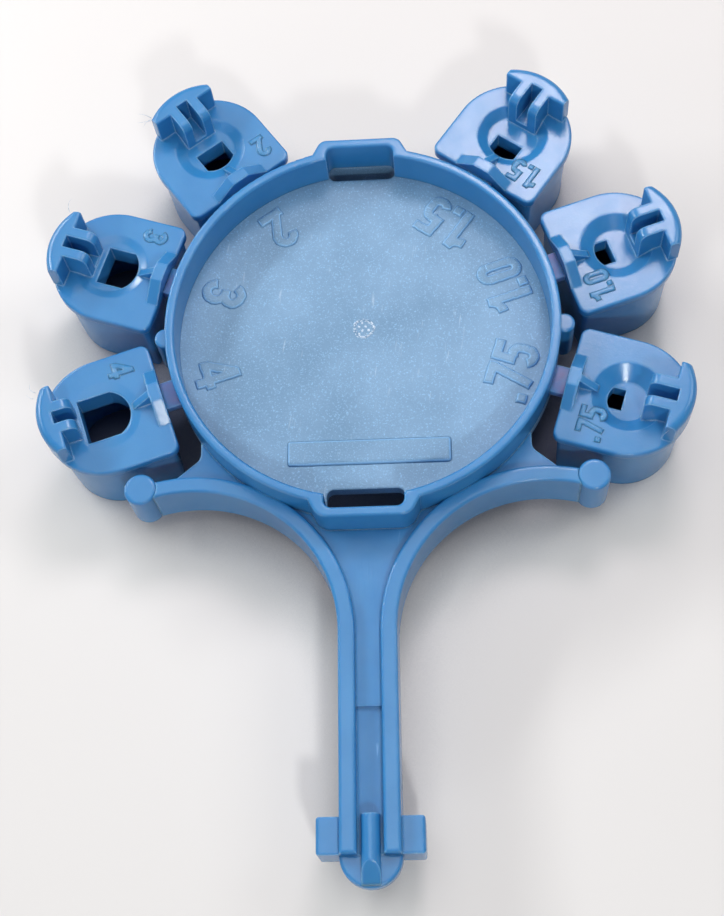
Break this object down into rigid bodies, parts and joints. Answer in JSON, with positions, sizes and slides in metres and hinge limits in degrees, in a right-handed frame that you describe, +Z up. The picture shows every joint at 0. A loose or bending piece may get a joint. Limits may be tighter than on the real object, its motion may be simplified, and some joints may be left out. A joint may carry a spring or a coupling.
{
  "type": "sprinkler nozzle rack",
  "caption": "Moulded rack of break-off sprinkler nozzles: a shallow round pan on a T-shaped pull-up handle, with sized nozzles fanned round it on small gates.",
  "frame": {"origin": "centre of the pan's flat underside", "axes": "+Z up out of the pan, +Y away from the handle, +X to the right with the pan facing the viewer and the handle below"},
  "size_m": [0.0686, 0.0881, 0.0136],
  "materials": {
    "blue_plastic": "satin moulded acetal with glossy edges",
    "textured_blue": "fine spark-eroded texture"
  },
  "bodies": {
    "rack": {"pan_floor": "textured_blue", "pan_rim": "blue_plastic", "stem_web": "blue_plastic", "key_tip": "blue_plastic", "key_spine": "blue_plastic", "left_rim_peg": "blue_plastic", "left_handle_rib": "blue_plastic", "left_horn_knob": "blue_plastic", "left_gusset": "blue_plastic", "left_key_lug": "blue_plastic", "right_rim_peg": "blue_plastic", "right_handle_rib": "blue_plastic", "right_horn_knob": "blue_plastic", "right_gusset": "blue_plastic", "right_key_lug": "blue_plastic", "gate_4": "blue_plastic", "gate_3": "blue_plastic", "gate_2": "blue_plastic", "gate_1_5": "blue_plastic", "gate_1_0": "blue_plastic", "gate_0_75": "blue_plastic"},
    "nozzle_4": {"nozzle_4": "blue_plastic"},
    "nozzle_3": {"nozzle_3": "blue_plastic"},
    "nozzle_2": {"nozzle_2": "blue_plastic"},
    "nozzle_1_5": {"nozzle_1_5": "blue_plastic"},
    "nozzle_1_0": {"nozzle_1_0": "blue_plastic"},
    "nozzle_0_75": {"nozzle_0_75": "blue_plastic"}
  },
  "joints": [
    {"name": "nozzle_4_pull", "type": "slide", "parent": "rack", "child": "nozzle_4", "axis": [-0.9511, -0.309, 0], "range_m": [0, 0.015]},
    {"name": "nozzle_3_pull", "type": "slide", "parent": "rack", "child": "nozzle_3", "axis": [-0.9511, 0.309, 0], "range_m": [0, 0.015]},
    {"name": "nozzle_2_pull", "type": "slide", "parent": "rack", "child": "nozzle_2", "axis": [-0.5878, 0.809, 0], "range_m": [0, 0.015]},
    {"name": "nozzle_1_5_pull", "type": "slide", "parent": "rack", "child": "nozzle_1_5", "axis": [0.5878, 0.809, 0], "range_m": [0, 0.015]},
    {"name": "nozzle_1_0_pull", "type": "slide", "parent": "rack", "child": "nozzle_1_0", "axis": [0.9511, 0.309, 0], "range_m": [0, 0.015]},
    {"name": "nozzle_0_75_pull", "type": "slide", "parent": "rack", "child": "nozzle_0_75", "axis": [0.9511, -0.309, 0], "range_m": [0, 0.015]}
  ]
}
